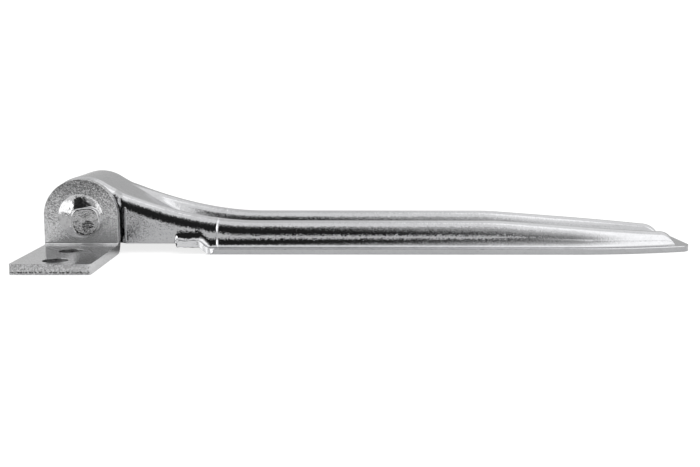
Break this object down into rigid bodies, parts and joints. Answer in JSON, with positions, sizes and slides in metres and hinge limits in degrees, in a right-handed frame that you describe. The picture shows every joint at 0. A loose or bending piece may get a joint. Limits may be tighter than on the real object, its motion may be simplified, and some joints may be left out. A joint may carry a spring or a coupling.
{
  "type": "strap hinge arm",
  "caption": "Pressed double-ribbed steel strap with a cranked neck, swinging on an upset pin between two L-shaped screw-on brackets.",
  "frame": {"origin": "on the mounting plane, straight under the pin axis, at mid width", "axes": "+X along the strap to its tip, +Y along the pin, +Z out of the mounting plane"},
  "size_m": [0.269, 0.1362, 0.0312],
  "materials": {
    "strap_zinc": "bright zinc plate, orange-peel gloss",
    "bracket_zinc": "zinc plate over hot-rolled sheet, fine dark pitting",
    "pin_zinc": "zinc plate, hammered at the head",
    "washer_zinc": "zinc plate"
  },
  "bodies": {
    "knuckle": {"near_bracket": "bracket_zinc", "far_bracket": "bracket_zinc", "hinge_pin": "pin_zinc", "spacer_sleeve": "pin_zinc", "near_washer": "washer_zinc", "far_washer": "washer_zinc"},
    "arm": {"strap": "strap_zinc"}
  },
  "joints": [
    {"name": "strap_swing", "type": "hinge", "parent": "knuckle", "child": "arm", "pos_m": [0, 0, 0.0157], "axis": [0, -1, 0], "range_deg": [0, 170]}
  ]
}
